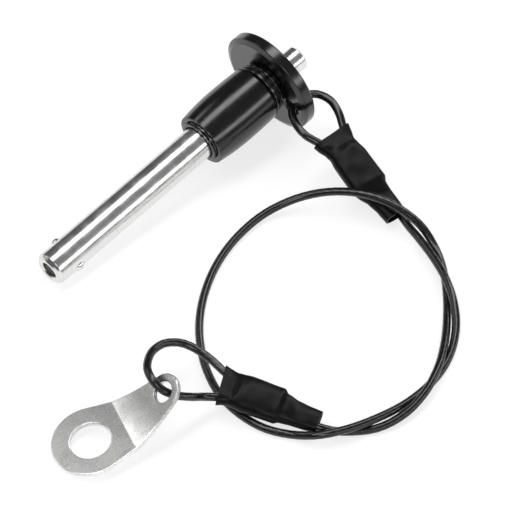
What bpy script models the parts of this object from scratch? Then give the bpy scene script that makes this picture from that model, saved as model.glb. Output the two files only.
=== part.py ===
"""Ball-lock hitch pin: a stainless pin with two locking balls worked by a push button, an aluminium
handle, and a coated wire-rope lanyard that ends in a bent fixing tab.

The pin lies on the plane z = 0, on the rim of its flange and the rim of its tip. Its axis lies in the
XZ plane and rises towards the button, which is at +X. The lanyard lies on the -Y side.
"""

import math

import bmesh
import bpy
from mathutils import Matrix, Vector

MM = 0.001
TURN = 2 * math.pi
GAP = 0.3 * MM

# Pin. Lengths run along its axis from the face of the tip, and all sections are round.
SHANK_RADIUS = 4.0 * MM
SHANK_BORE_RADIUS = 2.05 * MM
SHANK_LENGTH = 58.3 * MM
TIP_FACE_RADIUS = 3.2 * MM
TIP_CHAMFER = 0.9 * MM

BALL_RADIUS = 1.42 * MM
BALL_HOLE_RADIUS = 1.52 * MM
BALL_STATION = 6.0 * MM
BALL_ANGLE = math.radians(-75)
BALL_GAP = 0.06 * MM

# The spindle's cone falls by this much per length, so the balls sink by it per length of stroke.
CONE_SLOPE = 0.25
CONE_LENGTH = 3.8 * MM
STROKE = 3.5 * MM
SPINDLE_RADIUS = 1.95 * MM
SPINDLE_FRONT = 3.7 * MM
SPINDLE_TAIL_RADIUS = 1.5 * MM
SPINDLE_END = 75.5 * MM

HANDLE_FRONT = 48.0 * MM
BARREL_END = 66.0 * MM
BARREL_MAX_RADIUS = 7.08 * MM
BARREL_MAX_STATION = 57.0 * MM
BARREL_FRONT_CURVE = 0.0088 / MM
BARREL_REAR_CURVE = 0.0031 / MM
BARREL_BORE_RADIUS = 4.3 * MM
CHAMBER_RADIUS = 4.7 * MM
SOCKET_RADIUS = 5.5 * MM
SOCKET_START = 62.2 * MM

HUB_RADIUS = 5.2 * MM
HUB_START = 62.5 * MM
FLANGE_FACE = 68.85 * MM
FLANGE_FACE_RADIUS = 11.3 * MM
FLANGE_START = 69.4 * MM
FLANGE_END = 72.0 * MM
FLANGE_RADIUS = 12.7 * MM
FLANGE_ROUNDING = 0.45 * MM
FLANGE_FRONT_ROUNDING = 0.66 * MM
LIP_START = 69.05 * MM
LIP_RADIUS = 3.2 * MM
CORD_HOLE_RADIUS = 2.0 * MM
CORD_HOLE_OFFSET = 7.97 * MM
CORD_HOLE_ANGLE = math.radians(-78)

BUTTON_RADIUS = 2.97 * MM
BUTTON_END = 79.7 * MM
BUTTON_BORE_RADIUS = 1.65 * MM
BUTTON_SEAT = 66.9 * MM
SHOULDER_RADIUS = 4.3 * MM
SHOULDER_END = 68.75 * MM
CROSS_PIN_STATION = 70.3 * MM
CROSS_PIN_RADIUS = 0.5 * MM
CROSS_PIN_LENGTH = 5.0 * MM

SPRING_START = 59.7 * MM
SPRING_END = 66.5 * MM
SPRING_RADIUS = 3.3 * MM
SPRING_WIRE_RADIUS = 0.32 * MM
SPRING_TURNS = 4

# The pin's axis leans by the angle at which flange and tip both touch the plane.
TILT = math.atan2(
    FLANGE_RADIUS - SHANK_RADIUS, FLANGE_START + FLANGE_ROUNDING - TIP_CHAMFER
)
TIP_X = -39.38 * MM
TIP_Z = SHANK_RADIUS * math.cos(TILT) - TIP_CHAMFER * math.sin(TILT)

# Lanyard.
CORD_RADIUS = 0.95 * MM
FERRULE_LENGTH = 9.2 * MM
FERRULE_HALF_WIDTH = 3.4 * MM
FERRULE_HALF_THICKNESS = 1.7 * MM
LEG_OFFSET = 1.6 * MM
LEG_HOLE_RADIUS = 1.22 * MM
SLEEVE_WALL = 0.35 * MM

# The sleeves, in millimetres. Each runs from its mouth, where the loop leaves it, to its end. Its
# outline gives how far along it, its reach on the side of the cord's short end, its reach on the side
# of the cord's long run, and half its thickness. Its legs are points along it and beside its middle,
# towards the long run.
PIN_SLEEVE = {
    "mouth": (30.8, -19.3, 9.0),
    "end": (27.3, -41.8, 2.3),
    "roll": 0.0,
    "long_side": 1,
    "ferrule": 5.2,
    "outline": [
        (0.0, 5.35, 4.9, 2.05),
        (1.4, 5.05, 4.5, 2.0),
        (3.4, 4.25, 3.85, 2.0),
        (4.8, 3.95, 4.0, 2.2),
        (7.0, 4.25, 4.4, 2.3),
        (14.5, 4.35, 4.5, 2.3),
        (16.0, 3.9, 3.7, 1.9),
        (18.4, 2.85, 3.55, 1.65),
        (21.2, 2.25, 3.55, 1.65),
        (24.2, 1.9, 3.5, 1.85),
    ],
    "short_leg": [
        (0.4, -3.6),
        (2.6, -2.65),
        (5.0, -1.66),
        (7.0, -1.6),
        (10.0, -1.6),
        (13.0, -1.6),
        (15.6, -1.6),
    ],
    "long_leg": [
        (0.0, 3.25),
        (2.6, 2.4),
        (5.0, 1.66),
        (7.0, 1.6),
        (10.0, 1.6),
        (14.0, 1.6),
        (17.5, 1.7),
        (20.5, 1.85),
        (24.2, 1.95),
    ],
}
TAB_SLEEVE = {
    "mouth": (-36.1, -51.4, 5.6),
    "end": (-26.1, -72.0, 2.75),
    "roll": -14.0,
    "long_side": -1,
    "ferrule": 4.3,
    "outline": [
        (0.0, 4.6, 4.9, 1.95),
        (1.4, 4.2, 4.4, 1.9),
        (2.8, 3.85, 4.1, 2.0),
        (4.0, 3.95, 4.2, 2.2),
        (6.0, 4.2, 4.45, 2.3),
        (13.6, 4.0, 4.4, 2.25),
        (14.7, 3.05, 3.8, 1.9),
        (17.4, 2.35, 3.6, 1.65),
        (20.4, 2.0, 3.5, 1.65),
        (23.1, 1.85, 3.25, 1.65),
    ],
    "short_leg": [
        (0.2, -2.9),
        (2.4, -2.2),
        (4.3, -1.66),
        (6.0, -1.6),
        (8.5, -1.6),
        (11.5, -1.6),
        (14.2, -1.6),
    ],
    "long_leg": [
        (0.8, 2.85),
        (2.5, 2.2),
        (4.3, 1.66),
        (6.0, 1.6),
        (8.5, 1.6),
        (12.5, 1.6),
        (16.0, 1.6),
        (19.5, 1.7),
        (23.1, 1.75),
    ],
}

# The cord's free stretches, in millimetres: the loop through the flange, the run on the table, and
# the loop through the tab.
PIN_LOOP = [
    (25.9, -15.5, 10.1),
    (26.4, -12.1, 10.7),
    (28.0, -9.2, 11.0),
    (30.7, -7.7, 11.2),
    (33.4, -7.8, 11.4),
    (35.8, -9.6, 11.4),
    (36.7, -12.6, 11.2),
    (35.9, -16.2, 10.5),
]
TABLE_RUN = [
    (28.4, -45.3, 1.9),
    (26.7, -50.9, 2.6),
    (24.7, -57.2, 3.0),
    (22.0, -63.7, 3.2),
    (19.1, -68.7, 2.8),
    (15.6, -73.0, 1.8),
    (10.6, -76.9, 1.1),
    (5.2, -79.5, 1.0),
    (-0.8, -80.9, 1.0),
    (-8.1, -81.2, 1.3),
    (-16.0, -80.5, 2.5),
    (-24.9, -77.8, 3.2),
    (-29.5, -74.7, 2.8),
    (-32.2, -70.0, 1.1),
    (-35.3, -64.3, 1.0),
    (-36.4, -57.9, 1.0),
    (-35.8, -51.1, 1.0),
    (-33.3, -44.5, 1.0),
    (-29.3, -38.1, 1.0),
    (-23.8, -32.1, 1.0),
    (-17.3, -27.2, 1.0),
    (-8.4, -22.8, 1.05),
    (0.6, -20.6, 1.15),
    (8.8, -20.7, 1.7),
    (16.0, -24.1, 3.7),
    (21.4, -29.9, 6.0),
    (25.2, -36.2, 6.8),
    (27.9, -43.0, 5.8),
    (29.0, -49.3, 3.7),
    (27.9, -54.7, 1.6),
    (23.7, -61.7, 1.05),
    (19.6, -66.4, 1.0),
    (14.9, -70.9, 1.2),
    (8.3, -76.3, 2.2),
    (1.3, -80.7, 3.2),
    (-4.6, -82.9, 3.0),
    (-11.2, -83.4, 2.0),
    (-17.9, -81.5, 1.1),
    (-22.5, -78.2, 1.0),
    (-25.5, -75.5, 1.5),
]
TAB_LOOP = [
    (-40.9, -51.3, 5.5),
    (-45.0, -50.7, 8.5),
    (-47.8, -49.4, 10.3),
    (-49.6, -47.5, 11.7),
    (-50.2, -44.9, 13.2),
    (-49.2, -42.1, 13.4),
    (-46.2, -39.1, 12.4),
    (-42.8, -37.3, 11.2),
    (-39.2, -37.1, 10.2),
    (-36.1, -38.9, 9.2),
    (-34.4, -41.9, 8.2),
    (-33.7, -45.4, 7.4),
]
CORD_SPACING = 5.4 * MM
LOOP_SPACING = 2.2 * MM

# Tab: a plate with a round at each end and one bend. Its places are along it from the large hole.
TAB_THICKNESS = 1.2 * MM
TAB_LARGE_RADIUS = 8.85 * MM
TAB_SMALL_RADIUS = 4.2 * MM
TAB_LARGE_HOLE = 4.6 * MM
TAB_SMALL_HOLE = 2.4 * MM
TAB_BEND_STATION = 8.3 * MM
TAB_BEND_RADIUS = 1.6 * MM
TAB_BEND = math.radians(28)
TAB_SMALL_STATION = 20.0 * MM
TAB_PITCH = math.radians(11.5)
TAB_YAW = math.radians(-22)
TAB_HINGE = (-49.7, -47.7, 11.48)


def clear_scene():
    for old in list(bpy.data.objects):
        bpy.data.objects.remove(old, do_unlink=True)


def material(name, colour, roughness, metallic):
    made = bpy.data.materials.new(name)
    made.use_nodes = True
    shader = made.node_tree.nodes["Principled BSDF"]
    shader.inputs["Base Color"].default_value = (*colour, 1)
    shader.inputs["Roughness"].default_value = roughness
    shader.inputs["Metallic"].default_value = metallic
    made.diffuse_color = (*colour, 1)
    return made


def add(name, data, parent=None, finish=None):
    made = bpy.data.objects.new(name, data)
    bpy.context.scene.collection.objects.link(made)
    made.parent = parent
    if finish:
        data.materials.append(finish)
    return made


def mesh_from(name, bm, sharp_degrees=35):
    """The finished mesh: faces turned outwards, and smooth but for its sharp edges."""
    bmesh.ops.remove_doubles(bm, verts=bm.verts, dist=1e-7)
    bmesh.ops.recalc_face_normals(bm, faces=bm.faces)
    mesh = bpy.data.meshes.new(name)
    bm.to_mesh(mesh)
    bm.free()
    mesh.shade_smooth()
    mesh.set_sharp_from_angle(angle=math.radians(sharp_degrees))
    return mesh


def rounded(corners, steps=4):
    """A closed outline of (radius, height) corners. A third number rounds its corner by that much."""
    outline = []
    for i, corner in enumerate(corners):
        here = Vector(corner[:2])
        if len(corner) == 2:
            outline.append(here)
            continue
        to_last = (Vector(corners[i - 1][:2]) - here).normalized()
        to_next = (Vector(corners[(i + 1) % len(corners)][:2]) - here).normalized()
        half = to_last.angle(to_next) / 2
        centre = here + (to_last + to_next).normalized() * corner[2] / math.sin(half)
        start = here + to_last * corner[2] / math.tan(half) - centre
        end = here + to_next * corner[2] / math.tan(half) - centre
        spokes = [start.normalized().slerp(end.normalized(), k / steps) for k in range(steps + 1)]
        outline += [centre + spoke * corner[2] for spoke in spokes]
    return outline


def turned(name, outline, parent, finish, segments=44):
    """A solid of revolution about its own z axis, from a closed outline of (radius, height)."""
    bm = bmesh.new()
    rings = []
    for radius, height in outline:
        if radius < 1e-9:
            rings.append([bm.verts.new((0, 0, height))] * segments)
            continue
        angles = (TURN * k / segments for k in range(segments))
        points = [(radius * math.cos(a), radius * math.sin(a), height) for a in angles]
        rings.append([bm.verts.new(p) for p in points])
    for i, ring in enumerate(rings):
        last = rings[i - 1]
        for k in range(segments):
            n = (k + 1) % segments
            corners = list(dict.fromkeys((last[k], last[n], ring[n], ring[k])))
            if len(corners) > 2:
                bm.faces.new(corners)
    return add(name, mesh_from(name, bm), parent, finish)


def cut(target, cutter):
    """Takes the cutter's shape out of the target, and leaves the cutter as a hidden helper."""
    cutter.hide_render = True
    cutter.display_type = "WIRE"
    boolean = target.modifiers.new("cut by " + cutter.name, "BOOLEAN")
    boolean.operation = "DIFFERENCE"
    boolean.solver = "EXACT"
    boolean.object = cutter


def drill(name, parent, radius, length, place, direction, segments=24):
    """A round cutter centred on a place, along a direction, both in the parent's own axes."""
    half = length / 2
    cutter = turned(name, [(0, -half), (radius, -half), (radius, half), (0, half)], parent, None, segments)
    turn = Vector((0, 0, 1)).rotation_difference(Vector(direction)).to_matrix().to_4x4()
    cutter.matrix_local = Matrix.Translation(place) @ turn
    return cutter


def across(angle):
    """The direction square to the pin's axis at an angle round it."""
    return Vector((math.cos(angle), math.sin(angle), 0))


def cone_start():
    """Where the spindle's cone begins: just ahead of the place where the balls touch it."""
    return BALL_STATION - 0.5 * MM


def ball_centre_radius():
    """How far from the axis the balls' centres are when they rest on the cone's beginning."""
    lean = math.hypot(1, CONE_SLOPE)
    cone_here = SPINDLE_RADIUS - CONE_SLOPE * (BALL_STATION - cone_start())
    return cone_here + (BALL_RADIUS + BALL_GAP) * lean


def make_pin_axis():
    """An empty on the tip's face whose z axis is the pin's own axis and whose x axis points down."""
    axis = add("pin_axis", None)
    axis.location = (TIP_X, 0, TIP_Z)
    axis.rotation_euler = (0, math.pi / 2 - TILT, 0)
    return axis


def make_shank(axis, steel):
    outline = rounded(
        [
            (SHANK_BORE_RADIUS, 0.3 * MM),
            (SHANK_BORE_RADIUS + 0.3 * MM, 0),
            (TIP_FACE_RADIUS, 0),
            (SHANK_RADIUS, TIP_CHAMFER),
            (SHANK_RADIUS, SHANK_LENGTH),
            (SHANK_BORE_RADIUS, SHANK_LENGTH),
        ]
    )
    shank = turned("shank", outline, axis, steel, 48)
    place = (0, 0, BALL_STATION)
    cut(shank, drill("ball_drill", axis, BALL_HOLE_RADIUS, 12 * MM, place, across(BALL_ANGLE)))
    return shank


def make_spindle(axis, steel):
    waist_start = cone_start() + CONE_LENGTH
    waist_radius = SPINDLE_RADIUS - CONE_SLOPE * CONE_LENGTH
    waist_end = BALL_STATION + STROKE + 0.8 * MM
    shaft_start = waist_end + SPINDLE_RADIUS - waist_radius
    outline = rounded(
        [
            (0, SPINDLE_FRONT),
            (SPINDLE_RADIUS - 0.3 * MM, SPINDLE_FRONT),
            (SPINDLE_RADIUS, SPINDLE_FRONT + 0.3 * MM),
            (SPINDLE_RADIUS, cone_start()),
            (waist_radius, waist_start),
            (waist_radius, waist_end),
            (SPINDLE_RADIUS, shaft_start),
            (SPINDLE_RADIUS, BUTTON_SEAT - GAP),
            (SPINDLE_TAIL_RADIUS - 0.15 * MM, BUTTON_SEAT - GAP),
            (SPINDLE_TAIL_RADIUS - 0.15 * MM, SPINDLE_END),
            (0, SPINDLE_END),
        ]
    )
    spindle = turned("spindle", outline, axis, steel, 32)
    place = (0, 0, CROSS_PIN_STATION)
    hole = drill("spindle_cross_drill", axis, CROSS_PIN_RADIUS + 0.15 * MM, 8 * MM, place, (0, 1, 0), 16)
    cut(spindle, hole)
    return spindle


def make_ball(name, axis, steel, angle):
    rows = 14
    arc = [math.pi * k / rows for k in range(rows + 1)]
    outline = [(BALL_RADIUS * math.sin(a), -BALL_RADIUS * math.cos(a)) for a in arc]
    outline[0] = (0, -BALL_RADIUS)
    outline[-1] = (0, BALL_RADIUS)
    ball = turned(name, outline, axis, steel, 24)
    ball.location = across(angle) * ball_centre_radius() + Vector((0, 0, BALL_STATION))
    return ball


def barrel_radius(station):
    """The barrel's belly: a gentle curve behind its widest place, and a stronger one ahead of it."""
    ahead = station < BARREL_MAX_STATION
    curve = BARREL_FRONT_CURVE if ahead else BARREL_REAR_CURVE
    return BARREL_MAX_RADIUS - curve * (station - BARREL_MAX_STATION) ** 2


def make_barrel(axis, aluminium):
    steps = 12
    edge = 0.35 * MM
    first = HANDLE_FRONT + edge
    last = BARREL_END - 2 * edge
    stations = [first + (last - first) * k / steps for k in range(steps + 1)]
    belly = [(barrel_radius(s), s) for s in stations]
    outline = rounded(
        [
            (BARREL_BORE_RADIUS, HANDLE_FRONT),
            (belly[0][0] - edge, HANDLE_FRONT),
            *belly,
            (belly[-1][0] - 0.8 * edge, BARREL_END - 0.6 * edge),
            (belly[-1][0] - 2.6 * edge, BARREL_END),
            (SOCKET_RADIUS, BARREL_END),
            (SOCKET_RADIUS, SOCKET_START),
            (CHAMBER_RADIUS, SOCKET_START),
            (CHAMBER_RADIUS, SHANK_LENGTH),
            (BARREL_BORE_RADIUS, SHANK_LENGTH - 0.4 * MM),
        ]
    )
    return turned("handle_barrel", outline, axis, aluminium, 52)


def make_flange(axis, aluminium):
    outline = rounded(
        [
            (CHAMBER_RADIUS, HUB_START),
            (HUB_RADIUS, HUB_START),
            (HUB_RADIUS, FLANGE_FACE, 0.4 * MM),
            (FLANGE_FACE_RADIUS, FLANGE_FACE),
            (FLANGE_RADIUS, FLANGE_START, FLANGE_FRONT_ROUNDING),
            (FLANGE_RADIUS, FLANGE_END, FLANGE_ROUNDING),
            (LIP_RADIUS, FLANGE_END, 0.3 * MM),
            (LIP_RADIUS, LIP_START),
            (CHAMBER_RADIUS, LIP_START),
        ]
    )
    flange = turned("handle_flange", outline, axis, aluminium, 60)
    middle = (FLANGE_FACE + FLANGE_END) / 2
    place = across(CORD_HOLE_ANGLE) * CORD_HOLE_OFFSET + Vector((0, 0, middle))
    cut(flange, drill("cord_drill", axis, CORD_HOLE_RADIUS, 6 * MM, place, (0, 0, 1)))
    return flange


def make_ring(name, axis, finish, inner, outer, start, end, rounding):
    corners = [(inner, start), (outer, start, rounding), (outer, end, rounding), (inner, end)]
    return turned(name, rounded(corners, 3), axis, finish, 40)


def make_button(axis, steel):
    outline = rounded(
        [
            (BUTTON_BORE_RADIUS, BUTTON_SEAT),
            (SHOULDER_RADIUS, BUTTON_SEAT),
            (SHOULDER_RADIUS, SHOULDER_END),
            (BUTTON_RADIUS, SHOULDER_END),
            (BUTTON_RADIUS, BUTTON_END - 0.6 * MM),
            (BUTTON_RADIUS - 0.6 * MM, BUTTON_END),
            (0, BUTTON_END),
            (0, SPINDLE_END + GAP),
            (BUTTON_BORE_RADIUS, SPINDLE_END + GAP),
        ]
    )
    button = turned("push_button", outline, axis, steel, 40)
    place = (0, 0, CROSS_PIN_STATION)
    hole = drill("button_cross_drill", axis, CROSS_PIN_RADIUS + 0.15 * MM, 8 * MM, place, (0, 1, 0), 16)
    cut(button, hole)
    return button


def make_cross_pin(axis, steel):
    half = CROSS_PIN_LENGTH / 2
    edge = 0.15 * MM
    outline = [
        (0, -half),
        (CROSS_PIN_RADIUS - edge, -half),
        (CROSS_PIN_RADIUS, edge - half),
        (CROSS_PIN_RADIUS, half - edge),
        (CROSS_PIN_RADIUS - edge, half),
        (0, half),
    ]
    pin = turned("button_cross_pin", outline, axis, steel, 16)
    pin.location = (0, 0, CROSS_PIN_STATION)
    pin.rotation_euler = (math.pi / 2, 0, 0)
    return pin


def tube(name, points, radius, parent, finish):
    """A round tube with closed ends along a polyline."""
    curve = bpy.data.curves.new(name, "CURVE")
    curve.dimensions = "3D"
    curve.bevel_depth = radius
    curve.bevel_resolution = 2
    curve.use_fill_caps = True
    spline = curve.splines.new("POLY")
    spline.points.add(len(points) - 1)
    for spot, point in zip(spline.points, points):
        spot.co = (*point, 1)
    return add(name, curve, parent, finish)


def make_spring(axis, steel):
    per_turn = 14
    count = SPRING_TURNS * per_turn
    first = SPRING_START + SPRING_WIRE_RADIUS
    rise = SPRING_END - SPRING_START - 2 * SPRING_WIRE_RADIUS
    points = []
    for k in range(count + 1):
        angle = TURN * k / per_turn
        points.append(across(angle) * SPRING_RADIUS + Vector((0, 0, first + rise * k / count)))
    return tube("return_spring", points, SPRING_WIRE_RADIUS, axis, steel)


def sleeve_frame(sleeve):
    """The sleeve's own axes as a matrix: x across its wide side, y through it, z along it."""
    mouth = Vector(sleeve["mouth"]) * MM
    along = (Vector(sleeve["end"]) * MM - mouth).normalized()
    level = along.cross(Vector((0, 0, 1))).normalized() * -1
    wide = Matrix.Rotation(math.radians(-sleeve["roll"]), 3, along) @ level
    through = along.cross(wide)
    frame = Matrix((wide, through, along)).transposed().to_4x4()
    frame.translation = mouth
    return frame


def beside(sleeve, pairs):
    """World points from (along, aside) pairs in millimetres in a sleeve's wide plane."""
    frame = sleeve_frame(sleeve)
    side = sleeve["long_side"] * MM
    return [frame @ Vector((aside * side, 0, along * MM)) for along, aside in pairs]


def through_points(points):
    """A smooth curve through the points, as a function of the length along their chords: a cubic
    Hermite curve whose slope at each point is the weighted mean of its two chords' slopes."""
    stations = [0.0]
    for a, b in zip(points, points[1:]):
        stations.append(stations[-1] + (b - a).length)
    chords = []
    for i in range(len(points) - 1):
        chords.append((points[i + 1] - points[i]) / (stations[i + 1] - stations[i]))
    slopes = [chords[0]]
    for i in range(1, len(chords)):
        before = stations[i] - stations[i - 1]
        after = stations[i + 1] - stations[i]
        slopes.append((chords[i - 1] * after + chords[i] * before) / (before + after))
    slopes.append(chords[-1])

    def at(station):
        i = max(k for k in range(len(chords)) if stations[k] <= station or k == 0)
        span = stations[i + 1] - stations[i]
        t = (station - stations[i]) / span
        start = points[i] * (1 + 2 * t) + slopes[i] * span * t
        end = points[i + 1] * (3 - 2 * t) + slopes[i + 1] * span * (t - 1)
        return start * (1 - t) ** 2 + end * t**2

    return at, stations


def cord_route():
    """The cord's own points, and the numbers of those where its table run begins and ends."""
    start = beside(PIN_SLEEVE, PIN_SLEEVE["short_leg"][::-1]) + [Vector(p) * MM for p in PIN_LOOP]
    start += beside(PIN_SLEEVE, PIN_SLEEVE["long_leg"])
    middle = [Vector(p) * MM for p in TABLE_RUN]
    end = beside(TAB_SLEEVE, TAB_SLEEVE["long_leg"][::-1]) + [Vector(p) * MM for p in TAB_LOOP]
    end += beside(TAB_SLEEVE, TAB_SLEEVE["short_leg"])
    return start + middle + end, len(start), len(start) + len(middle)


def make_cord(finish):
    points, run_start, run_end = cord_route()
    at, stations = through_points(points)
    slack_start = stations[run_start - 5]
    slack_end = stations[run_end + 4]
    line = []
    for first, last, spacing in (
        (0, slack_start, LOOP_SPACING),
        (slack_start, slack_end, CORD_SPACING),
        (slack_end, stations[-1], LOOP_SPACING),
    ):
        count = round((last - first) / spacing)
        line += [at(first + (last - first) * k / count) for k in range(count)]
    line.append(at(stations[-1]))
    return tube("lanyard_cord", line, CORD_RADIUS, None, finish)


def oval(half_width, half_thickness, squareness, count):
    """Points round an oval. A squareness over 2 fills its corners."""
    ring = []
    for k in range(count):
        angle = TURN * k / count
        c = math.cos(angle)
        s = math.sin(angle)
        x = math.copysign(abs(c) ** (2 / squareness), c) * half_width
        y = math.copysign(abs(s) ** (2 / squareness), s) * half_thickness
        ring.append((x, y))
    return ring


def loft(bm, rings):
    """Bands of faces between rings of points, the last ring joined to the first."""
    loops = [[bm.verts.new(p) for p in ring] for ring in rings]
    for i, loop in enumerate(loops):
        last = loops[i - 1]
        for k in range(len(loop)):
            n = (k + 1) % len(loop)
            bm.faces.new((last[k], last[n], loop[n], loop[k]))


def make_sleeve(name, sleeve, rubber):
    """A shrunk sleeve: a wall of even thickness, open at both ends."""
    count = 24
    outer = []
    inner = []
    for along, short_reach, long_reach, half_thickness in sleeve["outline"]:
        z = along * MM
        w = (short_reach + long_reach) / 2 * MM
        t = half_thickness * MM
        middle = sleeve["long_side"] * (long_reach - short_reach) / 2 * MM
        outer.append([(middle + x, y, z) for x, y in oval(w, t, 2.6, count)])
        inside = oval(w - SLEEVE_WALL, t - SLEEVE_WALL, 2.6, count)
        inner.append([(middle + x, y, z) for x, y in inside])
    bm = bmesh.new()
    loft(bm, outer + inner[::-1])
    made = add(name, mesh_from(name, bm, 60), None, rubber)
    made.matrix_world = sleeve_frame(sleeve)
    return made


def make_ferrule(name, sleeve, aluminium):
    """An oval crimp with a hole for each leg of the loop."""
    count = 28
    edge = 0.35 * MM
    start = sleeve["ferrule"] * MM
    end = start + FERRULE_LENGTH
    rings = []
    for z, inset in ((start, edge), (start + edge, 0), (end - edge, 0), (end, edge)):
        outline = oval(FERRULE_HALF_WIDTH - inset, FERRULE_HALF_THICKNESS - inset, 2.8, count)
        rings.append([(x, y, z) for x, y in outline])
    bm = bmesh.new()
    loops = [[bm.verts.new(p) for p in ring] for ring in rings]
    for last, loop in zip(loops, loops[1:]):
        for k in range(count):
            n = (k + 1) % count
            bm.faces.new((last[k], last[n], loop[n], loop[k]))
    bm.faces.new(loops[0])
    bm.faces.new(loops[-1])
    made = add(name, mesh_from(name, bm), None, aluminium)
    made.matrix_world = sleeve_frame(sleeve)
    middle = (start + end) / 2
    for side in (-1, 1):
        place = (side * LEG_OFFSET, 0, middle)
        cut(made, drill(f"{name}_drill_{side}", made, LEG_HOLE_RADIUS, 14 * MM, place, (0, 0, 1), 16))
    return made


def tab_half_width(station):
    """Half the flat plate's width: an arc at each end and the straight tangents between them."""
    lean = (TAB_LARGE_RADIUS - TAB_SMALL_RADIUS) / TAB_SMALL_STATION
    rise = math.sqrt(1 - lean**2)
    if station < TAB_LARGE_RADIUS * lean:
        return math.sqrt(max(TAB_LARGE_RADIUS**2 - station**2, 0))
    if station < TAB_SMALL_STATION + TAB_SMALL_RADIUS * lean:
        return (TAB_LARGE_RADIUS - station * lean) / rise
    return math.sqrt(max(TAB_SMALL_RADIUS**2 - (station - TAB_SMALL_STATION) ** 2, 0))


def bent(station, side, height):
    """Where a point of the flat plate lies once the plate is bent upwards. Heights are from its middle."""
    arc = TAB_BEND_RADIUS * TAB_BEND
    past = min(max(station - TAB_BEND_STATION + arc / 2, 0), arc)
    angle = past / TAB_BEND_RADIUS
    before = min(station, TAB_BEND_STATION - arc / 2)
    after = max(station - TAB_BEND_STATION - arc / 2, 0)
    along = before + math.sin(angle) * TAB_BEND_RADIUS + after * math.cos(angle)
    up = (1 - math.cos(angle)) * TAB_BEND_RADIUS + after * math.sin(angle)
    return Vector((along - height * math.sin(angle), side, up + height * math.cos(angle)))


def tab_stations():
    arc = TAB_BEND_RADIUS * TAB_BEND
    steps = 12
    lean = (TAB_LARGE_RADIUS - TAB_SMALL_RADIUS) / TAB_SMALL_STATION
    turn = math.pi - math.acos(lean)
    large = [-TAB_LARGE_RADIUS * math.cos(turn * k / steps) for k in range(steps + 1)]
    bend = [TAB_BEND_STATION + arc * (k / 4 - 0.5) for k in range(5)]
    turn = math.pi - math.acos(-lean)
    small = [TAB_SMALL_STATION + TAB_SMALL_RADIUS * math.cos(turn * k / steps) for k in range(steps, -1, -1)]
    return large + bend + small


def make_tab(steel):
    """The plate, with its origin in the middle of its small hole, where the cord holds it."""
    half = TAB_THICKNESS / 2
    small_hole = bent(TAB_SMALL_STATION, 0, 0)
    large_hole = bent(0, 0, 0)
    bm = bmesh.new()
    rings = []
    for station in tab_stations():
        w = tab_half_width(station)
        corners = ((w, half), (-w, half), (-w, -half), (w, -half))
        rings.append([bm.verts.new(bent(station, side, up) - small_hole) for side, up in corners])
    for last, ring in zip(rings, rings[1:]):
        for k in range(4):
            n = (k + 1) % 4
            bm.faces.new((last[k], last[n], ring[n], ring[k]))
    bm.faces.new(rings[0])
    bm.faces.new(rings[-1])
    tab = add("tab", mesh_from("tab", bm, 30), None, steel)
    tab.location = Vector(TAB_HINGE) * MM
    tab.rotation_euler = (0, -TAB_PITCH, TAB_YAW)
    place = large_hole - small_hole
    cut(tab, drill("large_hole_drill", tab, TAB_LARGE_HOLE, 6 * MM, place, (0, 0, 1), 40))
    square = (-math.sin(TAB_BEND), 0, math.cos(TAB_BEND))
    cut(tab, drill("small_hole_drill", tab, TAB_SMALL_HOLE, 5 * MM, (0, 0, 0), square, 28))
    return tab


def main():
    clear_scene()
    bright = material("bright_stainless", (0.78, 0.78, 0.77), 0.22, 1)
    spring_steel = material("spring_steel", (0.55, 0.55, 0.56), 0.3, 1)
    anodised = material("black_anodised", (0.012, 0.012, 0.013), 0.25, 0.2)
    crimp = material("crimp_aluminium", (0.68, 0.69, 0.7), 0.4, 1)
    nylon = material("black_coating", (0.012, 0.012, 0.012), 0.28, 0)
    rubber = material("heat_shrink", (0.02, 0.02, 0.02), 0.6, 0)

    axis = make_pin_axis()
    make_shank(axis, bright)
    make_spindle(axis, bright)
    make_ball("ball_lower", axis, bright, BALL_ANGLE)
    make_ball("ball_upper", axis, bright, BALL_ANGLE + math.pi)
    make_barrel(axis, anodised)
    make_flange(axis, anodised)
    collar = (SHANK_RADIUS + GAP, 5.1 * MM, HANDLE_FRONT - 0.7 * MM, HANDLE_FRONT - GAP, 0.1 * MM)
    make_ring("front_collar", axis, anodised, *collar)
    neck = (HUB_RADIUS + GAP, 6.3 * MM, BARREL_END + GAP, BARREL_END + 1.9 * MM, 0.25 * MM)
    make_ring("neck_ring", axis, anodised, *neck)
    seat = (2.4 * MM, 4.2 * MM, SHANK_LENGTH + GAP, SPRING_START - GAP, 0.1 * MM)
    make_ring("spring_seat", axis, spring_steel, *seat)
    make_spring(axis, spring_steel)
    make_button(axis, bright)
    make_cross_pin(axis, spring_steel)

    make_cord(nylon)
    make_ferrule("pin_ferrule", PIN_SLEEVE, crimp)
    make_ferrule("tab_ferrule", TAB_SLEEVE, crimp)
    make_sleeve("pin_sleeve", PIN_SLEEVE, rubber)
    make_sleeve("tab_sleeve", TAB_SLEEVE, rubber)
    make_tab(bright)


main()
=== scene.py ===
"""The looks of the ball-lock hitch pin and its lanyard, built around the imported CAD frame."""

import math

import bmesh
import bpy
from mathutils import Matrix, Vector, noise


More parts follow.
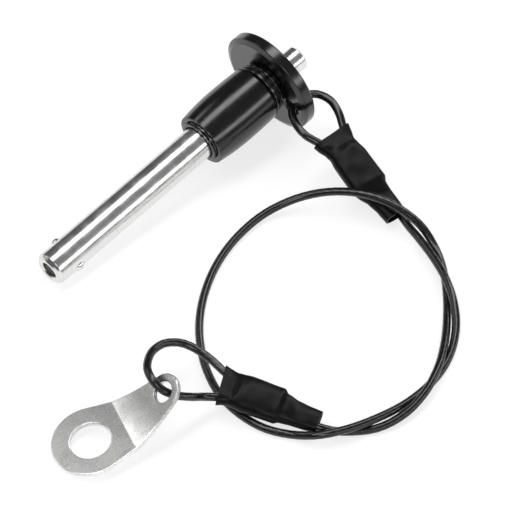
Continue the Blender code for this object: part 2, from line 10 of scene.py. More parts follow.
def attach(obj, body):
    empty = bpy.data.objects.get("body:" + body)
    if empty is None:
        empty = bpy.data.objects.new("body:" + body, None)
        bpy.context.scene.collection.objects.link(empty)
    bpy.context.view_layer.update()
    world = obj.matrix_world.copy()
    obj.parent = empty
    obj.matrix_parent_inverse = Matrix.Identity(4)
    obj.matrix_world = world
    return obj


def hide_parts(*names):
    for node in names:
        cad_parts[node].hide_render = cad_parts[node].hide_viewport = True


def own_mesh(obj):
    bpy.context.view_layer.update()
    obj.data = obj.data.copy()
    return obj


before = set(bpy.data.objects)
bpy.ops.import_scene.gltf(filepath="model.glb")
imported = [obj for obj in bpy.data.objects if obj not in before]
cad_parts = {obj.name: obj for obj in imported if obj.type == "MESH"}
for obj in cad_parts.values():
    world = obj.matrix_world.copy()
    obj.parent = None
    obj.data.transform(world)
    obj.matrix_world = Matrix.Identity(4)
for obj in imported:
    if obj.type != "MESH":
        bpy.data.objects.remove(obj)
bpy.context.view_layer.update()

MM = 0.001
TURN = 2 * math.pi

# The pin, in millimetres. Stations run along its axis from the face of its tip.
SHANK_RADIUS = 4.0
SHANK_BORE_RADIUS = 2.05
SHANK_END = 58.3
TIP_CHAMFER = 0.9
SPINDLE_RADIUS = 1.95
SPINDLE_END = 75.5
BALL_STATION = 6.0
BALL_RADIUS = 1.42
BALL_CENTRE_RADIUS = 3.3506
BALL_HOLE_RADIUS = 1.52
BALL_LIP_RADIUS = 1.34
BALL_ANGLE = math.radians(-75)
BARREL_FRONT = 48.0
BARREL_END = 66.0
BARREL_BORE_RADIUS = 4.3
CHAMBER_RADIUS = 4.7
SOCKET_RADIUS = 5.5
BELLY_STATION = 57
BELLY_RADIUS = 7.08
BELLY_FRONT_CURVE = 0.0088
BELLY_REAR_CURVE = 0.0031
HUB_RADIUS = 5.2
FLANGE_RADIUS = 12.7
FLANGE_START = 69.4
FLANGE_END = 72.0
FLANGE_ROUNDING = 0.45
CORD_HOLE_OFFSET = 7.97
CORD_HOLE_ANGLE = math.radians(-78)
BUTTON_RADIUS = 2.97
BUTTON_BORE_RADIUS = 1.65
BUTTON_END = 79.7

# The pin's own axes: the origin is on the face of the tip and z runs towards the button. The rims of
# its flange and its tip lie on the table.
TILT = math.atan2(FLANGE_RADIUS - SHANK_RADIUS, FLANGE_START + FLANGE_ROUNDING - TIP_CHAMFER)
TIP_X = -39.38 * MM
TIP_Z = (SHANK_RADIUS * math.cos(TILT) - TIP_CHAMFER * math.sin(TILT)) * MM
PIN_AXIS = Matrix.Translation((TIP_X, 0, TIP_Z)) @ Matrix.Rotation(math.pi / 2 - TILT, 4, "Y")

# The sleeves, in millimetres. Each runs from its mouth, where the loop leaves it, to its end. Its
# outline gives how far along it, its reach on the side of the cord's short end, its reach on the side
# of the cord's long run, and half its thickness. Its legs are points along it and beside its middle,
# towards the long run.
PIN_SLEEVE = {
    "mouth": (30.8, -19.3, 9.0),
    "end": (27.3, -41.8, 2.3),
    "roll": 0.0,
    "long_side": 1,
    "ferrule": 5.2,
    "outline": [
        (0.0, 5.35, 4.9, 2.05),
        (1.4, 5.05, 4.5, 2.0),
        (3.4, 4.25, 3.85, 2.0),
        (4.8, 3.95, 4.0, 2.2),
        (7.0, 4.25, 4.4, 2.3),
        (14.5, 4.35, 4.5, 2.3),
        (16.0, 3.9, 3.7, 1.9),
        (18.4, 2.85, 3.55, 1.65),
        (21.2, 2.25, 3.55, 1.65),
        (24.2, 1.9, 3.5, 1.85),
    ],
    "short_leg": [
        (0.4, -3.6),
        (2.6, -2.65),
        (5.0, -1.66),
        (7.0, -1.6),
        (10.0, -1.6),
        (13.0, -1.6),
        (15.6, -1.6),
    ],
    "long_leg": [
        (0.0, 3.25),
        (2.6, 2.4),
        (5.0, 1.66),
        (7.0, 1.6),
        (10.0, 1.6),
        (14.0, 1.6),
        (17.5, 1.7),
        (20.5, 1.85),
        (24.2, 1.95),
    ],
}
TAB_SLEEVE = {
    "mouth": (-36.1, -51.4, 5.6),
    "end": (-26.1, -72.0, 2.75),
    "roll": -14.0,
    "long_side": -1,
    "ferrule": 4.3,
    "outline": [
        (0.0, 4.6, 4.9, 1.95),
        (1.4, 4.2, 4.4, 1.9),
        (2.8, 3.85, 4.1, 2.0),
        (4.0, 3.95, 4.2, 2.2),
        (6.0, 4.2, 4.45, 2.3),
        (13.6, 4.0, 4.4, 2.25),
        (14.7, 3.05, 3.8, 1.9),
        (17.4, 2.35, 3.6, 1.65),
        (20.4, 2.0, 3.5, 1.65),
        (23.1, 1.85, 3.25, 1.65),
    ],
    "short_leg": [
        (0.2, -2.9),
        (2.4, -2.2),
        (4.3, -1.66),
        (6.0, -1.6),
        (8.5, -1.6),
        (11.5, -1.6),
        (14.2, -1.6),
    ],
    "long_leg": [
        (0.8, 2.85),
        (2.5, 2.2),
        (4.3, 1.66),
        (6.0, 1.6),
        (8.5, 1.6),
        (12.5, 1.6),
        (16.0, 1.6),
        (19.5, 1.7),
        (23.1, 1.75),
    ],
}

# The cord's free stretches, in millimetres: the loop through the flange, the run on the table, and
# the loop through the tab.
PIN_LOOP = [
    (25.9, -15.5, 10.1),
    (26.4, -12.1, 10.7),
    (28.0, -9.2, 11.0),
    (30.7, -7.7, 11.2),
    (33.4, -7.8, 11.4),
    (35.8, -9.6, 11.4),
    (36.7, -12.6, 11.2),
    (35.9, -16.2, 10.5),
]
TABLE_RUN = [
    (28.4, -45.3, 1.9),
    (26.7, -50.9, 2.6),
    (24.7, -57.2, 3.0),
    (22.0, -63.7, 3.2),
    (19.1, -68.7, 2.8),
    (15.6, -73.0, 1.8),
    (10.6, -76.9, 1.1),
    (5.2, -79.5, 1.0),
    (-0.8, -80.9, 1.0),
    (-8.1, -81.2, 1.3),
    (-16.0, -80.5, 2.5),
    (-24.9, -77.8, 3.2),
    (-29.5, -74.7, 2.8),
    (-32.2, -70.0, 1.1),
    (-35.3, -64.3, 1.0),
    (-36.4, -57.9, 1.0),
    (-35.8, -51.1, 1.0),
    (-33.3, -44.5, 1.0),
    (-29.3, -38.1, 1.0),
    (-23.8, -32.1, 1.0),
    (-17.3, -27.2, 1.0),
    (-8.4, -22.8, 1.05),
    (0.6, -20.6, 1.15),
    (8.8, -20.7, 1.7),
    (16.0, -24.1, 3.7),
    (21.4, -29.9, 6.0),
    (25.2, -36.2, 6.8),
    (27.9, -43.0, 5.8),
    (29.0, -49.3, 3.7),
    (27.9, -54.7, 1.6),
    (23.7, -61.7, 1.05),
    (19.6, -66.4, 1.0),
    (14.9, -70.9, 1.2),
    (8.3, -76.3, 2.2),
    (1.3, -80.7, 3.2),
    (-4.6, -82.9, 3.0),
    (-11.2, -83.4, 2.0),
    (-17.9, -81.5, 1.1),
    (-22.5, -78.2, 1.0),
    (-25.5, -75.5, 1.5),
]
TAB_LOOP = [
    (-40.9, -51.3, 5.5),
    (-45.0, -50.7, 8.5),
    (-47.8, -49.4, 10.3),
    (-49.6, -47.5, 11.7),
    (-50.2, -44.9, 13.2),
    (-49.2, -42.1, 13.4),
    (-46.2, -39.1, 12.4),
    (-42.8, -37.3, 11.2),
    (-39.2, -37.1, 10.2),
    (-36.1, -38.9, 9.2),
    (-34.4, -41.9, 8.2),
    (-33.7, -45.4, 7.4),
]
CORD_RADIUS = 0.95 * MM

# The tab, in millimetres. Stations run along its flat plate from its large hole.
TAB_LARGE_RADIUS = 8.85
TAB_SMALL_RADIUS = 4.2
LARGE_HOLE_RADIUS = 4.6
SMALL_HOLE_RADIUS = 2.4
SMALL_HOLE_STATION = 20
TAB_THICKNESS = 1.2
TAB_EDGE_ROUNDING = 0.28
SMALL_HOLE_PLACE = (-49.7, -47.7, 11.48)
TAB_HEADING = math.radians(-22)
TAB_PITCH = math.radians(11.5)

# How far the tab has turned upwards, in degrees, at stations along it: a crease, and a long sweep after.
TAB_TURNS = [(7.85, 0), (8.45, 17), (11.0, 21), (16.5, 31)]


# ---------------------------------------------------------------- camera, floor and light

# In metres, but for the lens, which is in millimetres.
CAMERA_PLACE = (-0.6113, -0.6407, 1.0101)
CAMERA_TARGET = (-0.0012, -0.0271, 0)
CAMERA_LENS = 417.8


def look_at(obj, place, target):
    obj.location = place
    obj.rotation_euler = (Vector(target) - Vector(place)).to_track_quat("-Z", "Y").to_euler()


def make_camera():
    """The photo's view: a long lens, from high up in front."""
    data = bpy.data.cameras.new("camera")
    data.sensor_width = 36
    data.lens = CAMERA_LENS
    data.clip_start = 0.05
    data.clip_end = 20
    camera = bpy.data.objects.new("camera", data)
    bpy.context.scene.collection.objects.link(camera)
    look_at(camera, CAMERA_PLACE, CAMERA_TARGET)
    bpy.context.scene.camera = camera
    bpy.context.scene.view_settings.view_transform = "Standard"


def make_floor():
    """A matt table, kept almost white by a light of its own."""
    bm = bmesh.new()
    bmesh.ops.create_circle(bm, cap_ends=True, radius=3, segments=64)
    mesh = bpy.data.meshes.new("floor")
    bm.to_mesh(mesh)
    bm.free()
    floor = bpy.data.objects.new("floor", mesh)
    bpy.context.scene.collection.objects.link(floor)
    floor.location = (0, -0.03, -0.05 * MM)
    paper = bpy.data.materials.new("pale_floor")
    paper.use_nodes = True
    shader = paper.node_tree.nodes["Principled BSDF"]
    shader.inputs["Base Color"].default_value = (0.3, 0.3, 0.3, 1)
    shader.inputs["Roughness"].default_value = 0.9
    shader.inputs["Specular IOR Level"].default_value = 0.05
    shader.inputs["Emission Color"].default_value = (1, 1, 1, 1)
    shader.inputs["Emission Strength"].default_value = 0.72
    mesh.materials.append(paper)


def make_backdrop():
    """A pale dome that only the camera sees, so that low views have a plain background too."""
    bm = bmesh.new()
    bmesh.ops.create_uvsphere(bm, u_segments=32, v_segments=16, radius=4)
    mesh = bpy.data.meshes.new("backdrop")
    bm.to_mesh(mesh)
    bm.free()
    dome = bpy.data.objects.new("backdrop", mesh)
    bpy.context.scene.collection.objects.link(dome)
    for ray in ("diffuse", "glossy", "transmission", "volume_scatter", "shadow"):
        setattr(dome, "visible_" + ray, False)
    pale = bpy.data.materials.new("pale_backdrop")
    pale.use_nodes = True
    tree = pale.node_tree
    tree.nodes.clear()
    glow = tree.nodes.new("ShaderNodeEmission")
    glow.inputs["Color"].default_value = (0.94, 0.94, 0.94, 1)
    out = tree.nodes.new("ShaderNodeOutputMaterial")
    tree.links.new(glow.outputs["Emission"], out.inputs["Surface"])
    mesh.materials.append(pale)


class Nodes:
    """Short ways to add and join the nodes of one tree."""

    def __init__(self, tree):
        self.tree = tree

    def add(self, kind, *inputs, **settings):
        """A node. Each input is a value or another node's socket, in the order of the node's inputs."""
        node = self.tree.nodes.new("ShaderNode" + kind)
        for name, value in settings.items():
            setattr(node, name, value)
        for socket, value in zip(node.inputs, inputs):
            self.feed(socket, value)
        return node.outputs[0]

    def feed(self, socket, value):
        if value is None:
            return
        if isinstance(value, bpy.types.NodeSocket):
            self.tree.links.new(value, socket)
        else:
            socket.default_value = value

    def math(self, operation, a, b=None, c=None):
        return self.add("Math", a, b, c, operation=operation)

    def dot(self, a, b):
        node = self.tree.nodes.new("ShaderNodeVectorMath")
        node.operation = "DOT_PRODUCT"
        self.feed(node.inputs[0], a)
        self.feed(node.inputs[1], b)
        return node.outputs["Value"]

    def scaled(self, vector, scale):
        node = self.tree.nodes.new("ShaderNodeVectorMath")
        node.operation = "MULTIPLY"
        self.feed(node.inputs[0], vector)
        self.feed(node.inputs[1], scale)
        return node.outputs["Vector"]

    def span(self, value, low, high, to_low, to_high):
        """The value mapped smoothly from one range to another, without leaving the second."""
        node = self.tree.nodes.new("ShaderNodeMapRange")
        node.interpolation_type = "SMOOTHSTEP"
        for name, number in (
            ("Value", value),
            ("From Min", low),
            ("From Max", high),
            ("To Min", to_low),
            ("To Max", to_high),
        ):
            self.feed(node.inputs[name], number)
        return node.outputs["Result"]

    def noise(self, vector, scale, detail, roughness):
        node = self.tree.nodes.new("ShaderNodeTexNoise")
        self.feed(node.inputs["Vector"], vector)
        node.inputs["Scale"].default_value = scale
        node.inputs["Detail"].default_value = detail
        node.inputs["Roughness"].default_value = roughness
        return node.outputs["Fac"]

    def bump(self, height, strength, distance, normal=None):
        node = self.tree.nodes.new("ShaderNodeBump")
        node.inputs["Strength"].default_value = strength
        node.inputs["Distance"].default_value = distance
        self.feed(node.inputs["Height"], height)
        self.feed(node.inputs["Normal"], normal)
        return node.outputs["Normal"]

    def blend(self, share, low, high):
        """A colour between two colours. These are the node's sockets for colours."""
        node = self.tree.nodes.new("ShaderNodeMix")
        node.data_type = "RGBA"
        self.feed(node.inputs[0], share)
        self.feed(node.inputs[6], (*low, 1))
        self.feed(node.inputs[7], (*high, 1))
        return node.outputs[2]


def direction(azimuth, elevation):
    """The direction of an azimuth and an elevation in degrees."""
    a = math.radians(azimuth)
    e = math.radians(elevation)
    return Vector((math.cos(a) * math.cos(e), math.sin(a) * math.cos(e), math.sin(e)))


# Soft boxes: azimuth, elevation, half width along X, half height and edge (as tangents), strength.
SOFT_BOXES = [
    (45, 75, 1.5, 0.16, 0.06, 6.0),
    (-70, 23, 1.1, 0.1, 0.05, 5.4),
    (106, 41, 0.4, 0.1, 0.08, 3.0),
    (120, 18, 0.4, 0.2, 0.15, 0.6),
    (-140, 42, 0.16, 0.16, 0.06, 8.0),
]


def make_world():
    """A dim studio with soft boxes. Each is a rectangle with soft edges, far away."""
    world = bpy.data.worlds.new("studio")
    bpy.context.scene.world = world
    world.use_nodes = True
    tree = world.node_tree
    tree.nodes.clear()
    n = Nodes(tree)
    coordinates = tree.nodes.new("ShaderNodeTexCoord")
    ray = coordinates.outputs["Generated"]
    total = n.span(n.dot(ray, (0, -0.5, 0.87)), 0.3, 0.85, 0.13, 0.26)
    for azimuth, elevation, width, tall, edge, strength in SOFT_BOXES:
        centre = direction(azimuth, elevation)
        side = (Vector((1, 0, 0)) - centre * centre.x).normalized()
        upright = centre.cross(side)
        ahead = n.dot(ray, centre)
        safe = n.math("MAXIMUM", ahead, 0.001)
        across = n.math("ABSOLUTE", n.math("DIVIDE", n.dot(ray, side), safe))
        up = n.math("ABSOLUTE", n.math("DIVIDE", n.dot(ray, upright), safe))
        inside = n.math(
            "MULTIPLY",
            n.span(across, width - edge, width + edge, 1, 0),
            n.span(up, tall - edge, tall + edge, 1, 0),
        )
        inside = n.math("MULTIPLY", inside, n.math("GREATER_THAN", ahead, 0.001))
        total = n.math("MULTIPLY_ADD", inside, strength, total)
    glow = tree.nodes.new("ShaderNodeBackground")
    tree.links.new(total, glow.inputs["Strength"])
    out = tree.nodes.new("ShaderNodeOutputWorld")
    tree.links.new(glow.outputs[0], out.inputs["Surface"])


# ---------------------------------------------------------------- materials

def new_material(name):
    """A new material, a helper for its nodes, and its shader."""
    made = bpy.data.materials.new(name)
    made.use_nodes = True
    shader = made.node_tree.nodes["Principled BSDF"]
    return made, Nodes(made.node_tree), shader


def place_of(n, axes=None):
    """The point in the piece's own axes, or in the axes of this matrix."""
    coordinates = n.tree.nodes.new("ShaderNodeTexCoord")
    if axes is None:
        return coordinates.outputs["Object"]
    mapping = n.tree.nodes.new("ShaderNodeMapping")
    mapping.vector_type = "TEXTURE"
    n.feed(mapping.inputs["Vector"], coordinates.outputs["Object"])
    mapping.inputs["Location"].default_value = axes.to_translation()
    mapping.inputs["Rotation"].default_value = axes.to_euler()
    return mapping.outputs["Vector"]


def turned_metal(name, colour, roughness, groove, fleck):
    """Metal turned on a lathe: fine grooves round the z axis, and slightly uneven gloss."""
    made, n, shader = new_material(name)
    place = place_of(n)
    grooves = n.noise(n.scaled(place, (150, 150, 9000)), 1, 3, 0.6)
    cloud = n.noise(place, 260, 3, 0.6)
    scratches = n.noise(n.scaled(place, (2600, 2600, 340)), 1, 2, 0.7)
    dark = tuple(c * 0.86 for c in colour)
    n.feed(shader.inputs["Base Color"], n.blend(n.span(grooves, 0.25, 0.75, 0, 1), dark, colour))
    shader.inputs["Metallic"].default_value = 1
    uneven = n.math("ADD", n.span(cloud, 0.3, 0.7, -fleck, fleck), roughness)
    uneven = n.math("ADD", uneven, n.span(scratches, 0.62, 0.78, 0, fleck))
    n.feed(shader.inputs["Roughness"], uneven)
    shader.inputs["Anisotropic"].default_value = 0.55
    tangent = n.tree.nodes.new("ShaderNodeTangent")
    tangent.direction_type = "RADIAL"
    tangent.axis = "Z"
    n.feed(shader.inputs["Tangent"], tangent.outputs[0])
    n.feed(shader.inputs["Normal"], n.bump(grooves, groove, 0.004 * MM))
    return made


def plain_metal(name, colour, roughness):
    """Drawn or polished metal, slightly mottled."""
    made, n, shader = new_material(name)
    place = place_of(n)
    mottle = n.noise(place, 900, 4, 0.6)
    dark = tuple(c * 0.8 for c in colour)
    n.feed(shader.inputs["Base Color"], n.blend(mottle, dark, colour))
    shader.inputs["Metallic"].default_value = 1
    n.feed(shader.inputs["Roughness"], n.span(mottle, 0.3, 0.7, roughness - 0.06, roughness + 0.08))
    n.feed(shader.inputs["Normal"], n.bump(mottle, 0.2, 0.02 * MM))
    return made


def satin_plate(name, colour, axes):
    """Stamped stainless plate, tumbled and lightly brushed along its length."""
    made, n, shader = new_material(name)
    place = place_of(n, axes)
    brushed = n.noise(n.scaled(place, (500, 5200, 900)), 1, 3, 0.65)
    tumbled = n.noise(place, 2600, 3, 0.65)
    cloud = n.noise(place, 130, 3, 0.5)
    grain = n.math("ADD", n.math("MULTIPLY", brushed, 0.35), n.math("MULTIPLY", tumbled, 0.65))
    # Painted shade: the colour is darker towards its small end and its +y side, where the light catches it
    # least; on top of that it is unevenly darker all over, at random.
    painted_shade_slope = n.span(n.dot(place, (45, 62, 0)), -1.4, 0.1, 0, 0.6)
    painted_shade_and_mottle = n.math("ADD", painted_shade_slope, n.span(cloud, 0.35, 0.7, 0, 0.4))
    # The base colour mixes the grain with this painted shade and random mottle.
    fleck = n.math("ADD", n.span(grain, 0.36, 0.62, -0.2, 0.2), n.math("SUBTRACT", 1, painted_shade_and_mottle))
    dark = tuple(c * 0.5 for c in colour)
    n.feed(shader.inputs["Base Color"], n.blend(fleck, dark, colour))
    shader.inputs["Metallic"].default_value = 1
    n.feed(shader.inputs["Roughness"], n.span(cloud, 0.3, 0.7, 0.24, 0.32))
    n.feed(shader.inputs["Normal"], n.bump(grain, 0.12, 0.004 * MM))
    return made


def anodised(name, axes):
    """Black anodised aluminium: a dark, even gloss over faint turning marks."""
    made, n, shader = new_material(name)
    place = place_of(n, axes)
    grooves = n.noise(n.scaled(place, (120, 120, 6500)), 1, 2, 0.6)
    cloud = n.noise(place, 420, 3, 0.6)
    n.feed(shader.inputs["Base Color"], n.blend(cloud, (0.0012, 0.0012, 0.0013), (0.003, 0.003, 0.0032)))
    n.feed(shader.inputs["Roughness"], n.span(cloud, 0.3, 0.7, 0.17, 0.23))
    shader.inputs["Specular IOR Level"].default_value = 0.62
    n.feed(shader.inputs["Normal"], n.bump(grooves, 0.25, 0.004 * MM))
    return made


def coating(name):
    """The rope's hard black coat, with softer patches in its gloss."""
    made, n, shader = new_material(name)
    place = place_of(n)
    cloud = n.noise(place, 700, 3, 0.6)
    fine = n.noise(place, 4200, 2, 0.6)
    n.feed(shader.inputs["Base Color"], n.blend(cloud, (0.003, 0.003, 0.003), (0.007, 0.007, 0.007)))
    n.feed(shader.inputs["Roughness"], n.span(cloud, 0.3, 0.7, 0.16, 0.27))
    n.feed(shader.inputs["Normal"], n.bump(fine, 0.12, 0.02 * MM))
    return made


def heat_shrink(name, axes):
    """Shrunk tube: dull black, with a fine leathery surface and faint streaks along it."""
    made, n, shader = new_material(name)
    place = place_of(n, axes)
    cloud = n.noise(place, 300, 3, 0.6)
    leather = n.noise(place, 3600, 4, 0.65)
    streaks = n.noise(n.scaled(place, (1500, 1500, 260)), 1, 3, 0.6)
    n.feed(shader.inputs["Base Color"], n.blend(cloud, (0.003, 0.003, 0.003), (0.006, 0.006, 0.006)))
    n.feed(shader.inputs["Roughness"], n.span(cloud, 0.3, 0.7, 0.28, 0.38))
    shader.inputs["Specular IOR Level"].default_value = 0.1
    first = n.bump(leather, 0.3, 0.03 * MM)
    n.feed(shader.inputs["Normal"], n.bump(streaks, 0.25, 0.12 * MM, first))
    return made


# ---------------------------------------------------------------- shapes

def finished(name, bm, matrix, material, sharp_degrees=35, baked=False):
    """The piece of this mesh in its place, smooth but for its sharp edges. A baked piece keeps the
    world's axes as its own."""
    bmesh.ops.remove_doubles(bm, verts=bm.verts, dist=1e-7)
    bmesh.ops.recalc_face_normals(bm, faces=bm.faces)
    mesh = bpy.data.meshes.new(name)
    bm.to_mesh(mesh)
    bm.free()
    mesh.shade_smooth()
    mesh.set_sharp_from_angle(angle=math.radians(sharp_degrees))
    mesh.materials.append(material)
    made = bpy.data.objects.new(name, mesh)
    bpy.context.scene.collection.objects.link(made)
    if baked:
        mesh.transform(matrix)
    else:
        made.matrix_world = matrix
    return made


def show(piece, body, slot, *nodes):
    """The piece rides on a body and stands for CAD nodes. Its flat faces are shaded flat."""
    weigh = piece.modifiers.new("flat faces", "WEIGHTED_NORMAL")
    weigh.keep_sharp = True
    weigh.weight = 60
    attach(piece, body)
    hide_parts(*nodes)
    return piece


def repaint(material, *nodes):
    """Shows these CAD nodes as they are, in this material."""
    for name in nodes:
        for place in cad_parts[name].material_slots:
            place.material = material


def rounded(corners, steps=6):
    """A closed outline of (radius, height) corners. A third number rounds its corner by that much."""
    outline = []
    for i, corner in enumerate(corners):
        here = Vector(corner[:2])
        if len(corner) == 2:
            outline.append(here)
            continue
        to_last = (Vector(corners[i - 1][:2]) - here).normalized()
        to_next = (Vector(corners[(i + 1) % len(corners)][:2]) - here).normalized()
        half = to_last.angle(to_next) / 2
        centre = here + (to_last + to_next).normalized() * corner[2] / math.sin(half)
        start = (here + to_last * corner[2] / math.tan(half) - centre).normalized()
        end = (here + to_next * corner[2] / math.tan(half) - centre).normalized()
        outline += [centre + start.slerp(end, k / steps) * corner[2] for k in range(steps + 1)]
    return outline


def turned_mesh(outline, segments):
    """A solid of revolution about z, in metres, from a closed outline in millimetres."""
    bm = bmesh.new()
    rings = []
    for radius, height in outline:
        if radius < 1e-6:
            rings.append([bm.verts.new((0, 0, height * MM))] * segments)
            continue
        ring = []
        for k in range(segments):
            angle = TURN * k / segments
            place = (radius * MM * math.cos(angle), radius * MM * math.sin(angle), height * MM)
            ring.append(bm.verts.new(place))
        rings.append(ring)
    for i, ring in enumerate(rings):
        last = rings[i - 1]
        for k in range(segments):
            n = (k + 1) % segments
            corners = list(dict.fromkeys((last[k], last[n], ring[n], ring[k])))
            if len(corners) > 2:
                bm.faces.new(corners)
    return bm


def turned(name, outline, material, segments=128, matrix=PIN_AXIS, baked=False):
    """A turned piece, on the pin's axis unless its own matrix is given."""
    return finished(name, turned_mesh(outline, segments), matrix, material, baked=baked)


def carve(piece, outline, matrix, segments=48):
    """Cuts a turned shape out of a piece."""
    cutter = finished("cutter", turned_mesh(outline, segments), matrix, piece.data.materials[0])
    boolean = piece.modifiers.new("carve", "BOOLEAN")
    boolean.solver = "EXACT"
    boolean.object = cutter
    bpy.context.view_layer.update()
    graph = bpy.context.evaluated_depsgraph_get()
    carved = bpy.data.meshes.new_from_object(piece.evaluated_get(graph))
    piece.modifiers.clear()
    piece.data = carved
    carved.shade_smooth()
    carved.set_sharp_from_angle(angle=math.radians(30))
    bpy.data.objects.remove(cutter)


def across_axis(angle):
    """The direction across the pin at an angle about its axis."""
    return Vector((math.cos(angle), math.sin(angle), 0))


def cord_hole(station):
    """The middle of the cord's hole at a station, in the pin's axes."""
    return across_axis(CORD_HOLE_ANGLE) * CORD_HOLE_OFFSET * MM + Vector((0, 0, station * MM))


def aimed(place, towards):
    """A matrix at a place in the pin's axes, whose z axis points a given way there."""
    turn = Vector((0, 0, 1)).rotation_difference(towards).to_matrix().to_4x4()
    return PIN_AXIS @ Matrix.Translation(place) @ turn


def make_shank(steel):
    """The hollow pin, chamfered at its tip. A lip in each cross drilling keeps its ball in."""
    outline = rounded(
        [
            (SHANK_BORE_RADIUS, 0.35),
            (2.3, 0.08, 0.08),
            (2.45, 0.0),
            (3.15, 0.0, 0.12),
            (3.62, 0.42, 0.1),
            (SHANK_RADIUS, 0.95, 0.15),
            (SHANK_RADIUS, SHANK_END),
            (SHANK_BORE_RADIUS, SHANK_END),
        ]
    )
    shank = turned("shank", outline, steel)
    wide = BALL_HOLE_RADIUS
    narrow = BALL_LIP_RADIUS
    drilling = [(0, 0), (wide, 0), (wide, 3.55), (narrow, 3.85), (narrow, 6), (0, 6)]
    for angle in (BALL_ANGLE, BALL_ANGLE + math.pi):
        carve(shank, drilling, aimed((0, 0, BALL_STATION * MM), across_axis(angle)))
    return show(shank, "handle", "stainless", "shank")


def make_spindle(steel):
    """The rod in the shank. Its cone lets the balls sink as it moves towards the tip."""
    outline = rounded(
        [
            (0, 3.7),
            (1.75, 3.7),
            (SPINDLE_RADIUS, 3.9),
            (SPINDLE_RADIUS, 5.5),
            (1.0, 9.3),
            (1.0, 10.3),
            (SPINDLE_RADIUS, 11.25),
            (SPINDLE_RADIUS, 66.6),
            (1.35, 66.6),
            (1.35, SPINDLE_END),
            (0, SPINDLE_END),
        ]
    )
    return show(turned("spindle", outline, steel, 64), "plunger", "stainless", "spindle")


def make_ball(name, steel, angle):
    """A locking ball in its drilling."""
    rows = 24
    outline = [
        (BALL_RADIUS * math.sin(math.pi * k / rows), -BALL_RADIUS * math.cos(math.pi * k / rows))
        for k in range(rows + 1)
    ]
    outline[0] = (0, -BALL_RADIUS)
    outline[-1] = (0, BALL_RADIUS)
    centre = across_axis(angle) * BALL_CENTRE_RADIUS * MM + Vector((0, 0, BALL_STATION * MM))
    ball = turned(name, outline, steel, 48, aimed(centre, across_axis(angle)))
    return show(ball, name, "stainless", name)


def barrel_radius(station):
    """The barrel's gentle belly. It falls away faster towards the front."""
    curve = BELLY_FRONT_CURVE if station < BELLY_STATION else BELLY_REAR_CURVE
    return BELLY_RADIUS - curve * (station - BELLY_STATION) ** 2


def make_barrel(black):
    """The handle's barrel, softened at both ends, with its bore, chamber and socket."""
    steps = 40
    start = 48.15
    end = 65.5
    stations = [start + (end - start) * k / steps for k in range(steps + 1)]
    belly = [(barrel_radius(s), s) for s in stations]
    front = barrel_radius(start)
    rear = barrel_radius(end)
    outline = rounded(
        [
            (BARREL_BORE_RADIUS, 48.35),
            (4.5, 48.1, 0.1),
            (4.7, BARREL_FRONT),
            (front - 0.16, BARREL_FRONT),
            (front - 0.05, 48.04),
            *belly,
            (rear - 0.06, 65.72),
            (rear - 0.22, 65.9),
            (rear - 0.5, 65.98),
            (rear - 0.8, BARREL_END),
            (SOCKET_RADIUS, BARREL_END),
            (SOCKET_RADIUS, 62.2),
            (CHAMBER_RADIUS, 62.2),
            (CHAMBER_RADIUS, SHANK_END),
            (BARREL_BORE_RADIUS, 57.9),
        ]
    )
    barrel = turned("handle_barrel", outline, black, 160, baked=True)
    return show(barrel, "handle", "black_anodised", "handle_barrel")


def make_flange(black):
    """The flange with its hub, and the countersunk hole for the cord."""
    outline = rounded(
        [
            (CHAMBER_RADIUS, 62.5),
            (HUB_RADIUS, 62.5),
            (HUB_RADIUS, 68.1),
            (HUB_RADIUS - 0.15, 68.2),
            (HUB_RADIUS, 68.3),
            (HUB_RADIUS, 68.85, 0.3),
            (11.3, 68.85, 0.14),
            (FLANGE_RADIUS, FLANGE_START, 0.3),
            (FLANGE_RADIUS, FLANGE_END, 0.6),
            (3.2, FLANGE_END, 0.3),
            (3.2, 69.05),
            (CHAMBER_RADIUS, 69.05),
        ],
        10,
    )
    flange = turned("handle_flange", outline, black, 180, baked=True)
    hole = rounded(
        [
            (0, 67),
            (2.8, 67),
            (2.8, 68.5),
            (2.05, 69.3, 0.3),
            (2.05, 71.55, 0.3),
            (2.9, 72.45),
            (2.9, 74),
            (0, 74),
        ]
    )
    carve(flange, hole, aimed(cord_hole(0), Vector((0, 0, 1))))
    return show(flange, "handle", "black_anodised", "handle_flange")


def make_collar(black):
    """The thin ring in front of the barrel."""
    bore = BARREL_BORE_RADIUS
    outline = rounded([(bore, 47.3, 0.08), (5.1, 47.3, 0.12), (5.1, 47.7, 0.05), (bore, 47.7)])
    collar = turned("front_collar", outline, black, 96, baked=True)
    return show(collar, "handle", "black_anodised", "front_collar")


def make_neck_ring(black):
    """The ring between barrel and flange, with one fine groove."""
    outline = rounded(
        [
            (SOCKET_RADIUS, 66.3),
            (6.3, 66.3, 0.3),
            (6.3, 67.25, 0.06),
            (6.12, 67.38),
            (6.3, 67.5, 0.06),
            (6.3, 67.9, 0.14),
            (SOCKET_RADIUS, 67.9),
        ]
    )
    ring = turned("neck_ring", outline, black, 96, baked=True)
    return show(ring, "handle", "black_anodised", "neck_ring")


def make_button(steel):
    """The push button. Its shoulder stays behind the flange's lip."""
    outline = rounded(
        [
            (BUTTON_BORE_RADIUS, 66.9),
            (4.3, 66.9),
            (4.3, 68.75),
            (BUTTON_RADIUS, 68.75),
            (BUTTON_RADIUS, 79.05, 0.2),
            (2.4, BUTTON_END, 0.2),
            (0.6, BUTTON_END),
            (0, BUTTON_END - 0.05),
            (0, 75.8),
            (BUTTON_BORE_RADIUS, 75.8),
        ]
    )
    return show(turned("push_button", outline, steel, 96), "plunger", "stainless", "push_button")


